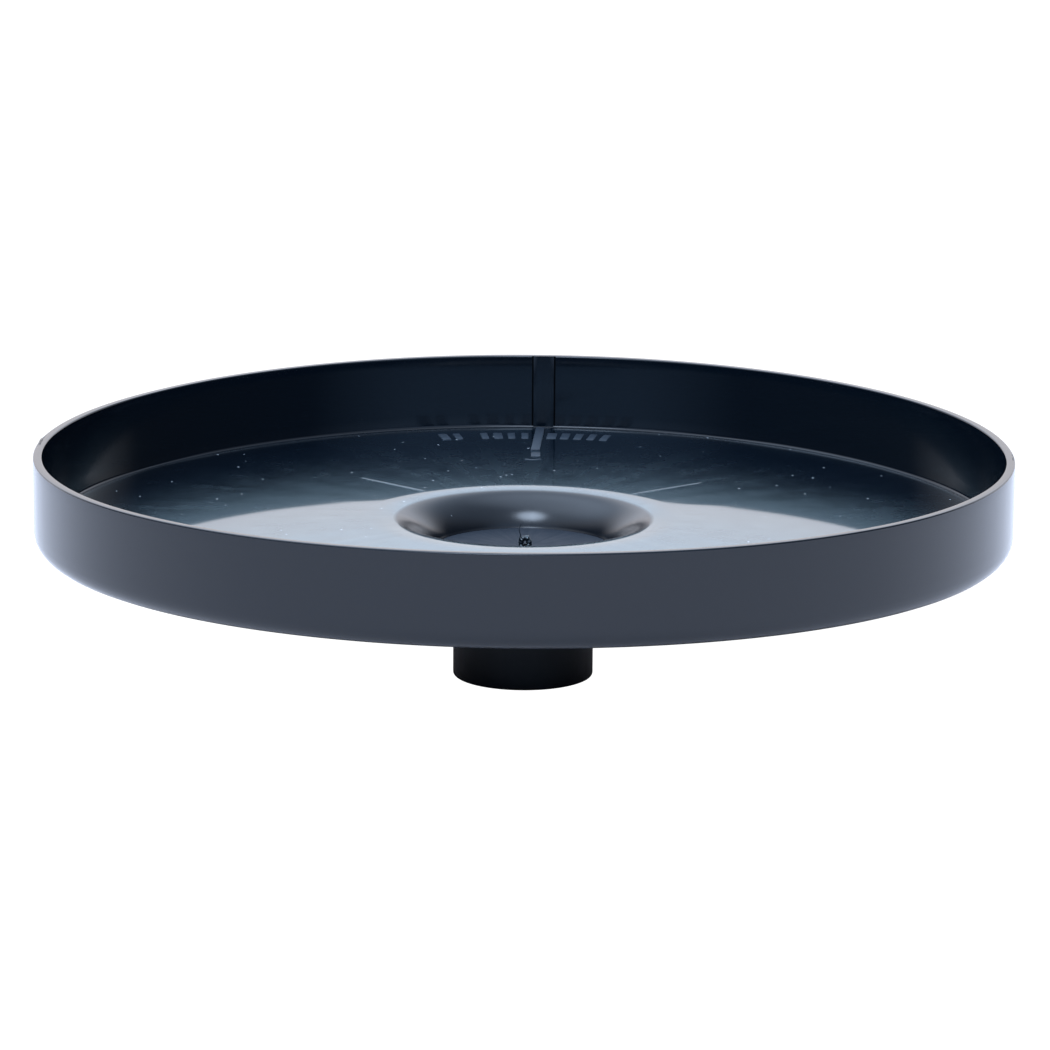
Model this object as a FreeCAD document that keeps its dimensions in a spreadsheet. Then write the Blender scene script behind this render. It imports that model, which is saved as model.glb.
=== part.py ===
import FreeCAD, Part
import math
import os
import Sketcher
from FreeCAD import Placement, Rotation, Vector

# Round drip tray of an umbrella stand. A shallow moulded tray carries a flanged, hollow spigot in its
# dished hub; a flat seal lies under the flange and a collar pressed on the spigot from below clamps
# the hub. Millimetres, +Z up, origin at the centre of the spigot's foot, +Y towards the wall strip.

doc = FreeCAD.newDocument("UmbrellaStandTray")

# Driving sizes: alias, millimetres (degrees for angles), what it is.
SIZES = [
    ("TrayRadius", 136.0, "outside radius of the tray wall"),
    ("RimHeight", 65.7, "rim above the spigot foot"),
    ("UndersideHeight", 39.4, "flat foot ring of the tray above the spigot foot"),
    ("WallThickness", 2.5, "tray wall"),
    ("EdgeRadius", 5.0, "rounded lower edge of the wall"),
    ("RimRounding", 0.4, "broken edges of the rim"),
    ("InnerFillet", 1.0, "between wall and floor"),
    ("FloorEdgeHeight", 42.7, "top of the floor at the wall"),
    ("FootRingRadius", 126.0, "inner edge of the flat foot ring"),
    ("LipRingRadius", 41.5, "outer edge of the level ring round the bell mouth"),
    ("LipRadius", 38.2, "where the level ring turns down into the bell mouth"),
    ("LipHeight", 44.9, "top of the level ring"),
    ("FloorThickness", 2.5, "floor at the bell mouth"),
    ("BellRadius", 13.5, "round of the bell mouth, upper face"),
    ("SeatRadius", 25.6, "recess that takes the flange"),
    ("DiscHeight", 36.2, "upper face of the spigot's flange"),
    ("SeatHeight", 32.6, "ledge under the seal"),
    ("HubBoreRadius", 20.4, "hole in the hub for the spigot"),
    ("HubBaseHeight", 28.2, "lower face of the hub boss"),
    ("BossRadius", 28.0, "outside of the hub boss"),
    ("BossTopHeight", 35.5, "where the boss meets the bell mouth"),
    ("RibThickness", 1.8, "radial stiffening rib"),
    ("RibEndRadius", 104.0, "outer end of a rib"),
    ("RibSpread", 41.0, "angle of each rib from the Y axis"),
    ("StripWidth", 6.6, "strip on the inner wall"),
    ("StripProud", 0.3, "how far the strip stands off the wall"),
    ("StripAngle", -2.5, "turn of the strip about the axis, from +Y"),
    ("BarAngle", -2.0, "turn of the bar about the axis, from +Y"),
    ("BarWidth", 2.2, "raised bar on the floor"),
    ("BarHeight", 0.8, "bar above the floor"),
    ("BarOuterRadius", 132.6, "outer end of the bar"),
    ("BarInnerRadius", 100.0, "inner end of the bar"),
    ("FlangeRadius", 25.4, "spigot flange"),
    ("FlangeThickness", 2.4, "spigot flange"),
    ("SpigotRadius", 19.6, "outside of the spigot below the collar"),
    ("ShankRadius", 20.0, "thicker shank that takes the collar's press fit"),
    ("SocketRadius", 17.1, "inside of the spigot"),
    ("CapThickness", 2.6, "closed upper end of the spigot"),
    ("FootRounding", 0.8, "outer edge of the spigot foot"),
    ("GateRadius", 0.9, "moulding gate stub on the disc"),
    ("GateHeight", 0.5, "moulding gate stub on the disc"),
    ("SealInnerRadius", 20.6, "flat seal"),
    ("SealOuterRadius", 25.2, "flat seal"),
    ("CollarRadius", 26.0, "outside of the pressed collar"),
    ("CollarHeight", 6.0, "pressed collar"),
]

# Heights that two pieces share.
FLANGE_UNDER = "Sizes.DiscHeight - Sizes.FlangeThickness"
COLLAR_BASE = "Sizes.HubBaseHeight - Sizes.CollarHeight"

sheet = doc.addObject("Spreadsheet::Sheet", "Sizes")
for row, (alias, value, note) in enumerate(SIZES, start=1):
    sheet.set("A%d" % row, alias)
    sheet.set("B%d" % row, str(value))
    sheet.set("C%d" % row, note)
    sheet.setAlias("B%d" % row, alias)
doc.recompute()


def value_of(formula):
    """Number that a formula over the sheet's aliases gives now."""
    return float(sheet.evalExpression(formula))


def new_body(label):
    """Empty body at the frame's origin."""
    body = doc.addObject("PartDesign::Body", label.title().replace("_", ""))
    body.Label = label
    body.Placement = Placement()
    return body


def new_sketch(body, name, plane_role):
    """Sketch on one of the body's own origin planes."""
    sketch = body.newObject("Sketcher::SketchObject", name)
    planes = [f for f in body.Origin.OriginFeatures if f.Role == plane_role]
    sketch.AttachmentSupport = [(planes[0], "")]
    sketch.MapMode = "FlatFace"
    return sketch


def pin_point(sketch, segment, end, axis, formula):
    """Hold one coordinate of a segment's end at a formula of the sheet."""
    if formula == "0":
        across = -2 if axis == "X" else -1
        sketch.addConstraint(Sketcher.Constraint("PointOnObject", segment, end, across))
        return
    number = value_of(formula)
    index = sketch.addConstraint(
        Sketcher.Constraint("Distance" + axis, -1, 1, segment, end, number))
    sketch.setExpression("Constraints[%d]" % index, formula)


def draw_outline(sketch, corners):
    """Closed outline of pinned corners.

    A corner is (first formula, second formula) or, where the segment that follows it is an arc,
    (first formula, second formula, radius formula, side), side +1 when the arc's centre lies to
    the left of the way along the segment and -1 when it lies to the right.
    """
    points = [Vector(value_of(c[0]), value_of(c[1]), 0) for c in corners]
    count = len(corners)
    for index, corner in enumerate(corners):
        start = points[index]
        end = points[(index + 1) % count]
        if len(corner) == 2:
            sketch.addGeometry(Part.LineSegment(start, end))
            continue
        radius = value_of(corner[2])
        half_chord = (end - start) * 0.5
        to_left = Vector(-half_chord.y, half_chord.x, 0).normalize() * corner[3]
        rise = math.sqrt(radius ** 2 - half_chord.Length ** 2)
        centre = start + half_chord + to_left * rise
        middle = centre - to_left * radius
        sketch.addGeometry(Part.Arc(start, middle, end))
    for index, corner in enumerate(corners):
        is_arc = len(corner) == 4
        # An arc always runs anticlockwise, so its ends are swapped when it bulges the other way.
        start_end = 2 if is_arc and corner[3] < 0 else 1
        following = (index + 1) % count
        next_is_swapped = len(corners[following]) == 4 and corners[following][3] < 0
        sketch.addConstraint(Sketcher.Constraint(
            "Coincident", index, 3 - start_end, following, 2 if next_is_swapped else 1))
        pin_point(sketch, index, start_end, "X", corner[0])
        pin_point(sketch, index, start_end, "Y", corner[1])
        if is_arc:
            number = value_of(corner[2])
            bound = sketch.addConstraint(Sketcher.Constraint("Radius", index, number))
            sketch.setExpression("Constraints[%d]" % bound, corner[2])


def revolve(body, name, corners):
    """Full turn about Z of an outline of radii and heights."""
    sketch = new_sketch(body, name + "Profile", "XZ_Plane")
    draw_outline(sketch, corners)
    turn = body.newObject("PartDesign::Revolution", name)
    turn.Profile = sketch
    turn.ReferenceAxis = (sketch, ["V_Axis"])
    turn.Angle = 360.0
    doc.recompute()
    return turn


def ring_edges(body, radius, height):
    """Names of the body's full-circle edges at one radius and height."""
    names = []
    for number, edge in enumerate(body.Shape.Edges, start=1):
        if edge.Curve.TypeId != "Part::GeomCircle":
            continue
        same_radius = abs(edge.Curve.Radius - radius) < 0.01
        same_height = abs(edge.Curve.Center.z - height) < 0.01
        if same_radius and same_height:
            names.append("Edge%d" % number)
    if not names:
        raise RuntimeError("no edge at radius %.2f, height %.2f" % (radius, height))
    return names


def round_edges(body, name, places, radius_formula):
    """Fillet the ring edges at (radius formula, height formula) places."""
    names = []
    for radius, height in places:
        names += ring_edges(body, value_of(radius), value_of(height))
    fillet = body.newObject("PartDesign::Fillet", name)
    fillet.Base = (body.Tip if body.Tip != fillet else fillet.BaseFeature, names)
    fillet.setExpression("Radius", radius_formula)
    doc.recompute()


def pad(body, name, plane_role, corners, length_formula, offset, midplane=False):
    """Pad of an outline on an origin plane moved by a placement."""
    volume_before = body.Shape.Volume
    sketch = new_sketch(body, name + "Profile", plane_role)
    sketch.AttachmentOffset = offset
    draw_outline(sketch, corners)
    feature = body.newObject("PartDesign::Pad", name)
    feature.Profile = sketch
    feature.setExpression("Length", length_formula)
    if midplane:
        feature.SideType = "Symmetric"
    doc.recompute()
    if body.Shape.Volume <= volume_before:
        raise RuntimeError(name + " added nothing")


def make_tray():
    """Wall, rising floor, bell mouth and hub boss in one moulding, with ribs under the floor."""
    body = new_body("tray")
    inner = "Sizes.TrayRadius - Sizes.WallThickness"
    under_lip = "Sizes.LipHeight - Sizes.FloorThickness"
    revolve(body, "TrayShell", [
        ("Sizes.TrayRadius", "Sizes.UndersideHeight"),
        ("Sizes.TrayRadius", "Sizes.RimHeight"),
        (inner, "Sizes.RimHeight"),
        (inner, "Sizes.FloorEdgeHeight"),
        ("Sizes.LipRingRadius", "Sizes.LipHeight"),
        ("Sizes.LipRadius", "Sizes.LipHeight", "Sizes.BellRadius", 1),
        ("Sizes.SeatRadius", "Sizes.DiscHeight"),
        ("Sizes.SeatRadius", "Sizes.SeatHeight"),
        ("Sizes.HubBoreRadius", "Sizes.SeatHeight"),
        ("Sizes.HubBoreRadius", "Sizes.HubBaseHeight"),
        ("Sizes.BossRadius", "Sizes.HubBaseHeight"),
        ("Sizes.BossRadius", "Sizes.BossTopHeight", "Sizes.BellRadius - Sizes.FloorThickness", -1),
        ("Sizes.LipRadius", under_lip),
        ("Sizes.LipRingRadius", under_lip),
        ("Sizes.FootRingRadius", "Sizes.UndersideHeight"),
    ])
    round_edges(body, "LowerEdge", [("Sizes.TrayRadius", "Sizes.UndersideHeight")],
                "Sizes.EdgeRadius")
    round_edges(body, "RimEdges", [("Sizes.TrayRadius", "Sizes.RimHeight"),
                                   (inner, "Sizes.RimHeight")], "Sizes.RimRounding")
    round_edges(body, "FloorFillet", [(inner, "Sizes.FloorEdgeHeight")], "Sizes.InnerFillet")
    make_ribs(body)
    make_strip(body)
    make_bar(body)
    return body


def make_ribs(body):
    """Four radial ribs under the floor, in an X about the hub."""
    spread = value_of("Sizes.RibSpread")
    azimuths = [90 - spread, 90 + spread, 270 - spread, 270 + spread]
    for number, azimuth in enumerate(azimuths, start=1):
        # The sketch's own Y axis is the tray's axis, so a turn about it swings the rib round.
        swing = Placement(Vector(), Rotation(Vector(0, 1, 0), azimuth))
        pad(body, "Rib%d" % number, "XZ_Plane", [
            ("Sizes.BossRadius - 1", "Sizes.HubBaseHeight + 2"),
            ("Sizes.LipRadius", "Sizes.UndersideHeight - 2"),
            ("Sizes.RibEndRadius", "Sizes.UndersideHeight"),
            ("Sizes.RibEndRadius", "Sizes.FloorEdgeHeight - 1"),
            ("Sizes.LipRadius", "Sizes.LipHeight - Sizes.FloorThickness / 2"),
            ("Sizes.LipRadius - 7", "Sizes.LipHeight - 3.4"),
            ("Sizes.BossRadius - 1", "Sizes.BossTopHeight + 1"),
        ], "Sizes.RibThickness", swing, midplane=True)


def make_strip(body):
    """Low vertical strip on the inner wall, floor to rim."""
    turned = Placement(Vector(0, 0, value_of("Sizes.FloorEdgeHeight - 0.5")),
                       Rotation(Vector(0, 0, 1), value_of("Sizes.StripAngle + 90")))
    face = "Sizes.TrayRadius - Sizes.WallThickness - Sizes.StripProud"
    pad(body, "WallStrip", "XY_Plane", [
        (face, "Sizes.StripWidth / -2"),
        (face + " + 1.5", "Sizes.StripWidth / -2"),
        (face + " + 1.5", "Sizes.StripWidth / 2"),
        (face, "Sizes.StripWidth / 2"),
    ], "Sizes.RimHeight - Sizes.FloorEdgeHeight", turned)


def make_bar(body):
    """Raised bar on the floor that runs in from the foot of the strip."""
    floor = value_of("Sizes.FloorEdgeHeight")
    turned = Placement(Vector(0, 0, floor - 0.5),
                       Rotation(Vector(0, 0, 1), value_of("Sizes.BarAngle + 90")))
    pad(body, "FloorBar", "XY_Plane", [
        ("Sizes.BarInnerRadius", "Sizes.BarWidth / -2"),
        ("Sizes.BarOuterRadius", "Sizes.BarWidth / -2"),
        ("Sizes.BarOuterRadius", "Sizes.BarWidth / 2"),
        ("Sizes.BarInnerRadius", "Sizes.BarWidth / 2"),
    ], "Sizes.BarHeight + 1.1", turned)


def make_spigot():
    """Flanged spigot, open below and closed above, with the moulding gate's stub on its disc."""
    body = new_body("hub_spigot")
    cap_under = "Sizes.DiscHeight - Sizes.CapThickness"
    gate_top = "Sizes.DiscHeight + Sizes.GateHeight"
    revolve(body, "SpigotShell", [
        ("0", gate_top),
        ("0", cap_under),
        ("Sizes.SocketRadius", cap_under),
        ("Sizes.SocketRadius", "0"),
        ("Sizes.SpigotRadius", "0"),
        ("Sizes.SpigotRadius", COLLAR_BASE),
        ("Sizes.ShankRadius", COLLAR_BASE),
        ("Sizes.ShankRadius", FLANGE_UNDER),
        ("Sizes.FlangeRadius", FLANGE_UNDER),
        ("Sizes.FlangeRadius", "Sizes.DiscHeight"),
        ("Sizes.GateRadius", "Sizes.DiscHeight"),
        ("Sizes.GateRadius", gate_top),
    ])
    round_edges(body, "FootEdge", [("Sizes.SpigotRadius", "0")], "Sizes.FootRounding")
    return body


def make_seal():
    """Flat seal between the flange and the ledge in the hub."""
    body = new_body("hub_seal")
    revolve(body, "SealRing", [
        ("Sizes.SealInnerRadius", "Sizes.SeatHeight"),
        ("Sizes.SealOuterRadius", "Sizes.SeatHeight"),
        ("Sizes.SealOuterRadius", FLANGE_UNDER),
        ("Sizes.SealInnerRadius", FLANGE_UNDER),
    ])
    return body


def make_collar():
    """Collar pressed on the spigot's shank, against the lower face of the hub boss."""
    body = new_body("lock_collar")
    revolve(body, "CollarRing", [
        ("Sizes.ShankRadius", COLLAR_BASE),
        ("Sizes.CollarRadius", COLLAR_BASE),
        ("Sizes.CollarRadius", "Sizes.HubBaseHeight"),
        ("Sizes.ShankRadius", "Sizes.HubBaseHeight"),
    ])
    return body


parts = [make_tray(), make_spigot(), make_seal(), make_collar()]
doc.recompute()

for item in doc.Objects:
    if "Invalid" in item.State or "Error" in item.State:
        raise RuntimeError("%s did not build: %s" % (item.Label, item.State))
for part in parts:
    if part.Shape.isNull() or not part.Shape.isValid():
        raise RuntimeError(part.Label + " has no valid shape")

os.makedirs("parts", exist_ok=True)
for part in parts:
    part.Shape.exportStep("parts/%s.step" % part.Label)
    box = part.Shape.BoundBox
    print("%-12s solids %d  volume %9.1f mm3  z %6.2f to %6.2f  radius %.2f" % (
        part.Label, len(part.Shape.Solids), part.Shape.Volume, box.ZMin, box.ZMax, box.XMax))
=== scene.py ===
import math
import random

import bmesh
import bpy
from mathutils import Matrix, Vector


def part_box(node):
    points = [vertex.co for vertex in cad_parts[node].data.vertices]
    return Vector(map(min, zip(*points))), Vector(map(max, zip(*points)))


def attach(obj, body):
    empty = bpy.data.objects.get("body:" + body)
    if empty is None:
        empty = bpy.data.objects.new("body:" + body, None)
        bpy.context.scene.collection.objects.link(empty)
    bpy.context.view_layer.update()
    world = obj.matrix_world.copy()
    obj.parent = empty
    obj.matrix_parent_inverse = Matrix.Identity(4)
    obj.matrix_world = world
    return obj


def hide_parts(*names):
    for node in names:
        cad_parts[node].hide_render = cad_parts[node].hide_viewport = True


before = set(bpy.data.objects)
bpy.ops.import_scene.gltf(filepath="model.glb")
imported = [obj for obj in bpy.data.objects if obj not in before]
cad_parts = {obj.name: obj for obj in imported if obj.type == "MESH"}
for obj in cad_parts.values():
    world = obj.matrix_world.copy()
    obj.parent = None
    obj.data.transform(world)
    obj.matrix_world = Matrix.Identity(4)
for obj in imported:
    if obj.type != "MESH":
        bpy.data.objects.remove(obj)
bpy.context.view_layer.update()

bl_info = {
    "name": "Umbrella Stand Tray",
    "version": (1, 0, 0),
    "blender": (4, 5, 0),
    "location": "View3D > Sidebar > Stand Tray",
    "description": "Moulded drip tray with its hub spigot, on a plain white stage",
    "category": "Object",
}

MM = 0.001
BODY = "root"
CREST_ROUND = 57 * MM
# Long, low ripple of the floor from the hub outwards.
RIPPLE_HEIGHT = 0.003 * MM
RIPPLE_LENGTH = 31 * MM
# Dip in the floor along each line where the melt joined.
LINE_DIP = 0.02 * MM
LINE_HALF_WIDTH = 2.8 * MM
# Flow streaks beside each line: turn from it in radians, height in mm, half width in mm.
FLOW_STREAKS = ((-0.24, 0.014, 4.2), (-0.14, -0.018, 3.4), (-0.07, 0.016, 2.8), (0.08, 0.018, 2.8),
                (0.15, -0.018, 3.2), (0.23, 0.016, 3.8), (0.32, -0.014, 4.4), (0.42, 0.012, 4.8))
# Sizes of the plastic's patterns: gloss clouds, draw marks, grain, and the cells that hold dust.
CLOUD = 60 * MM
DRAW_MARK = 7 * MM
GRAIN = 1.2 * MM
DUST_CELL = 5 * MM
BLOOM_PATCH = 4 * MM
# Fans of flow round the axis, the usual span of the three noises' sum, and a speck's soft edge.
FAN_SCALE = 14.0
NOISE_SPAN = (1.1, 1.9)
SPECK_EDGE = (0.055, 0.07)
# Steps round the turned pieces.
TRAY_STEPS, SPIGOT_STEPS, RING_STEPS = 480, 192, 160
# Turn of the warp from the axes, in radians.
WARP_TURN = 0.074
# Flash on the rim: middle and half reach in degrees, height in mm, seed.
FLASH = ((176.5, 3.5, 1.0, 3), (-2.5, 2.5, 0.7, 8))
# Soft boxes: direction, cosine at the edge, share of the key light.
SOFT_BOXES = (((-0.12, -0.62, 0.78), 0.955, 1.0), ((-0.25, 0.15, 1.0), 0.75, 0.12))
TRAY_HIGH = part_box("tray")[1]
SPIGOT_LOW, SPIGOT_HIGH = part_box("hub_spigot")
SEAL_LOW, SEAL_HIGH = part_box("hub_seal")
COLLAR_LOW, COLLAR_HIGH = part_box("lock_collar")


def linear(hex_colour):
    """Linear RGBA of an sRGB hex colour such as 0x0A0C0F."""
    channels = [(hex_colour >> shift & 255) / 255 for shift in (16, 8, 0)]
    return tuple(c / 12.92 if c <= 0.04045 else ((c + 0.055) / 1.055) ** 2.4
                 for c in channels) + (1.0,)


def grey(level):
    """RGBA of an even grey."""
    return (level, level, level, 1.0)


def length(name, description, default):
    """Distance property in metres."""
    return bpy.props.FloatProperty(name=name, description=description, default=default,
                                   unit="LENGTH", precision=5)


def colour(name, description, hex_colour):
    """Colour property from an sRGB hex value."""
    return bpy.props.FloatVectorProperty(name=name, description=description, size=4,
                                         subtype="COLOR", min=0, max=1,
                                         default=linear(hex_colour))


def angle(name, description, degrees):
    """Angle property, default given in degrees."""
    return bpy.props.FloatProperty(name=name, description=description, subtype="ANGLE",
                                   default=math.radians(degrees))


def factor(name, description, default):
    """Plain number that isn't negative."""
    return bpy.props.FloatProperty(name=name, description=description, default=default, min=0)


class TraySizes(bpy.types.PropertyGroup):
    radius: length("Radius", "Outside radius of the wall", TRAY_HIGH.x)
    warp: length("Warp", "How far the rim rises and falls as the cooled moulding warps", 0.78 * MM)
    wall: length("Wall", "Thickness of the wall", 2.5 * MM)
    wall_height: length("Wall height", "Rim above the foot ring, before the warp", 25.5 * MM)
    edge_round: length("Edge round", "Round of the wall's lower edge", 5.0 * MM)
    floor_depth: length("Floor depth", "Rim above the floor at the wall", 22.2 * MM)
    level_radius: length("Level radius", "Where the rising floor starts to level out", 44.5 * MM)
    lip_radius: length("Lip radius", "Crest, where the floor starts to fall to the bell", 41.5 * MM)
    lip_rise: length("Lip rise", "Crest above the floor at the wall", 2.43 * MM)
    bell_radius: length("Bell radius", "Where the tight round of the bell mouth starts", 36.5 * MM)
    floor: length("Floor", "Thickness of the floor at the bell mouth", 2.5 * MM)
    bell_round: length("Bell round", "Round of the bell mouth's upper face", 12.15 * MM)
    foot_ring: length("Foot ring", "Inner radius of the flat foot ring", 126.0 * MM)
    boss_radius: length("Boss radius", "Outside of the hub boss", 28.0 * MM)
    seat_radius: length("Seat radius", "Recess that takes the spigot's flange", 25.6 * MM)
    bore_radius: length("Bore radius", "Hole in the hub", 20.4 * MM)
    rib_spread: angle("Rib spread", "Angle of each rib from the Y axis", 41.0)
    line_middle: angle("Line middle", "Turn of the middle between the fine lines", 87.7)
    line_spread: angle("Line spread", "Angle of each fine line from their middle", 43.2)
    strip_turn: angle("Strip turn", "Turn of the strip from +X", 87.5)
    strip_half: length("Strip half width", "Half the width of the strip's face", 3.1 * MM)
    strip_proud: length("Strip proud", "How far the strip stands out of the wall", 0.3 * MM)
    # The shut lines are drawn as painted shade: a thin dark band, wider than the strip, standing out
    # of the wall.
    shut_shade_half: length("Shut line half width", "From the strip's middle to the lines' edge", 3.6 * MM)
    shut_shade_proud: length("Shut line proud", "How far the shut lines' band stands out", 0.15 * MM)
    rib_width: length("Rib width", "Thickness of a rib under the floor", 1.8 * MM)
    rib_end: length("Rib end", "Outer end of the ribs", 104.0 * MM)


class SpigotSizes(bpy.types.PropertyGroup):
    flange_radius: length("Flange radius", "Disc at the bottom of the bell mouth", SPIGOT_HIGH.x)
    flange: length("Flange", "Thickness of the disc's rim", 2.4 * MM)
    gate_height: length("Gate height", "Stub left by the moulding gate", 0.5 * MM)
    shank_radius: length("Shank radius", "Part that the collar is pressed on", 20.0 * MM)
    radius: length("Radius", "Free end of the spigot", 19.6 * MM)
    socket_radius: length("Socket radius", "Inside of the spigot", 17.1 * MM)
    cap: length("Cap", "Thickness of the closed upper end", 2.6 * MM)


class PlasticColours(bpy.types.PropertyGroup):
    tray: colour("Tray", "Black moulding of the tray", 0x060F18)
    spigot: colour("Spigot", "Black moulding of the spigot", 0x03090F)
    # Painted light: the disc's top face, lit from above, gets a much lighter colour than the same
    # plastic of the spigot's shaded sides.
    disc: colour("Disc, painted light", "Matt face of the spigot's disc", 0x262D36)
    mark: colour("Mark", "Greyer plastic of eroded or torn surfaces", 0x29343F)
    # Painted shade: near-black colour of the band beside the wall strip, standing in for the shade
    # down in the two shut lines.
    groove_shade: colour("Groove shade", "Bottom of a narrow groove", 0x010305)
    dust: colour("Dust", "Dry dust and whitened scuffs", 0xDCE4EC)
    rubber: colour("Rubber", "Seal", 0x161616)
    bloom: colour("Bloom", "Grey bloom on the seal", 0x26272A)
    collar: colour("Collar", "Satin black of the collar", 0x131416)


class StageSettings(bpy.types.PropertyGroup):
    floor_size: length("Floor size", "Side of the floor", 8.0)
    floor: colour("Floor", "Matt white floor", 0xFFF7F5)
    floor_glow: factor("Floor glow", "Brightness of the white that the camera sees", 1.2)
    floor_white: factor("Floor white", "Share of that white in the floor", 0.93)
    backdrop_light: colour("Backdrop light", "Near-neutral light low on the backdrop", 0xD8D6DB)
    band_light: colour("Band light", "Light higher on the backdrop", 0xDEE5F3)
    top_light: colour("Top light", "Cooler light from above", 0xC4D6EE)
    backdrop: factor("Backdrop", "Brightness of the backdrop", 2.0)
    front_light: colour("Front light", "Cooler panel behind the camera", 0x9AB4D0)
    side_light: factor("Side light", "Share of it at the dim sides", 0.06)
    key_light: factor("Key light", "Brightness of the soft box overhead", 15.0)
    elevation: angle("Elevation", "Camera above the horizon", 11.70)
    distance: length("Distance", "Camera to the middle of the rim", 1.36)
    lens: bpy.props.FloatProperty(name="Lens", description="Focal length on a 36 mm sensor",
                                  default=167.7, unit="CAMERA")
    pan: angle("Pan", "Turn of the camera to the left", -0.015)
    tilt: angle("Tilt", "Tip of the camera upwards", -0.912)
    roll: angle("Roll", "Lean of the camera", -0.35)


# ---------------------------------------------------------------- outlines and meshes


def rounded(corners, steps=6):
    """Outline through (radius, height, round) corners, each round as a tangent arc."""
    points = []
    for index, (r, z, fillet) in enumerate(corners):
        here = Vector((r, z))
        if fillet == 0:
            points.append(here)
            continue
        before = Vector(corners[index - 1][:2]) - here
        after = Vector(corners[(index + 1) % len(corners)][:2]) - here
        half = before.angle(after) / 2
        setback = fillet / math.tan(half)
        centre = here + (before.normalized() + after.normalized()).normalized() * (
            fillet / math.sin(half))
        start = here + before.normalized() * setback - centre
        end = here + after.normalized() * setback - centre
        turn = start.angle_signed(end)
        for step in range(steps + 1):
            swing = Matrix.Rotation(-turn * step / steps, 2)
            points.append(centre + swing @ start)
    return points


def divided(points, longest):
    """The same outline with no stretch longer than the given length."""
    result = [points[0]]
    for start, end in zip(points, points[1:]):
        parts = max(1, math.ceil((end - start).length / longest))
        result += [start.lerp(end, part / parts) for part in range(1, parts + 1)]
    return result


def outline_object(name, points):
    """Object whose mesh is one line of edges through the outline's points."""
    mesh = bpy.data.meshes.new(name)
    mesh.from_pydata([(p.x, 0, p.y) for p in points],
                     [(i, i + 1) for i in range(len(points) - 1)], [])
    obj = bpy.data.objects.new(name, mesh)
    bpy.context.scene.collection.objects.link(obj)
    return obj


def mesh_object(name, form):
    """Object that holds a bmesh, which is freed."""
    mesh = bpy.data.meshes.new(name)
    form.to_mesh(mesh)
    form.free()
    obj = bpy.data.objects.new(name, mesh)
    bpy.context.scene.collection.objects.link(obj)
    return obj


def solid_piece(name, form, material, slot):
    """Piece of one material from a bmesh, which is freed."""
    piece = mesh_object(name, form)
    mark_edges(piece.data)
    piece.data.materials.append(material)
    finish_piece(piece, slot)


def mark_edges(mesh, sharpest=math.radians(38)):
    """Outward normals, smooth faces, and sharp edges where two faces meet at a real corner."""
    form = bmesh.new()
    form.from_mesh(mesh)
    bmesh.ops.remove_doubles(form, verts=form.verts, dist=1e-7)
    bmesh.ops.dissolve_degenerate(form, edges=form.edges, dist=1e-8)
    bmesh.ops.recalc_face_normals(form, faces=form.faces)
    for face in form.faces:
        face.smooth = True
    for edge in form.edges:
        edge.smooth = len(edge.link_faces) != 2 or edge.calc_face_angle(0) < sharpest
    form.to_mesh(mesh)
    form.free()


# ---------------------------------------------------------------- node trees


def add_node(tree, kind, settings=None, inputs=None):
    """New node with its settings; each input gets a value, or a link from a socket or a node."""
    node = tree.nodes.new(kind)
    for key, value in (settings or {}).items():
        setattr(node, key, value)
    for key, value in (inputs or {}).items():
        if isinstance(value, bpy.types.Node):
            value = value.outputs[0]
        if isinstance(value, bpy.types.NodeSocket):
            tree.links.new(value, node.inputs[key])
        else:
            node.inputs[key].default_value = value
    return node


def operate(tree, operation, *values, kind="ShaderNodeMath"):
    """Math node with its inputs in order."""
    return add_node(tree, kind, {"operation": operation}, dict(enumerate(values)))


def noise(tree, place, scale, detail):
    """Noise at a place."""
    return add_node(tree, "ShaderNodeTexNoise", inputs={
        "Vector": place, "Scale": scale, "Detail": detail}).outputs["Fac"]


def map_range(tree, value, low, high, to_low=0.0, to_high=1.0, kind="LINEAR"):
    """Value carried from one range to another and held at its ends."""
    return add_node(tree, "ShaderNodeMapRange", {"interpolation_type": kind}, {
        "Value": value, "From Min": low, "From Max": high, "To Min": to_low, "To Max": to_high})


def mix(tree, share, first, second, blend="MIX"):
    """Colour mixed from two."""
    return add_node(tree, "ShaderNodeMix", {"data_type": "RGBA", "blend_type": blend}, {
        "Factor": share, "A": first, "B": second}).outputs["Result"]


def heap(tree, source):
    """As many points as the tree's Count, all at the origin."""
    return add_node(tree, "GeometryNodeMeshLine", inputs={
        "Count": source["Count"], "Offset": (0, 0, 0)})


def shape_tree(name, sockets):
    """Geometry tree with its named inputs and its output, and the sockets of its inputs."""
    tree = bpy.data.node_groups.new(name, "GeometryNodeTree")
    for socket, kind in {"Geometry": "Geometry", **sockets, "Material": "Material"}.items():
        tree.interface.new_socket(name=socket, in_out="INPUT", socket_type="NodeSocket" + kind)
    tree.interface.new_socket(name="Geometry", in_out="OUTPUT", socket_type="NodeSocketGeometry")
    return tree, add_node(tree, "NodeGroupInput").outputs


def end_tree(tree, shape, source):
    """Closes a tree with Realize Instances, Set Material and its output."""
    plain = add_node(tree, "GeometryNodeRealizeInstances", inputs={"Geometry": shape})
    painted = add_node(tree, "GeometryNodeSetMaterial",
                       inputs={"Geometry": plain, "Material": source["Material"]})
    add_node(tree, "NodeGroupOutput", inputs={0: painted})
    return tree


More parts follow.
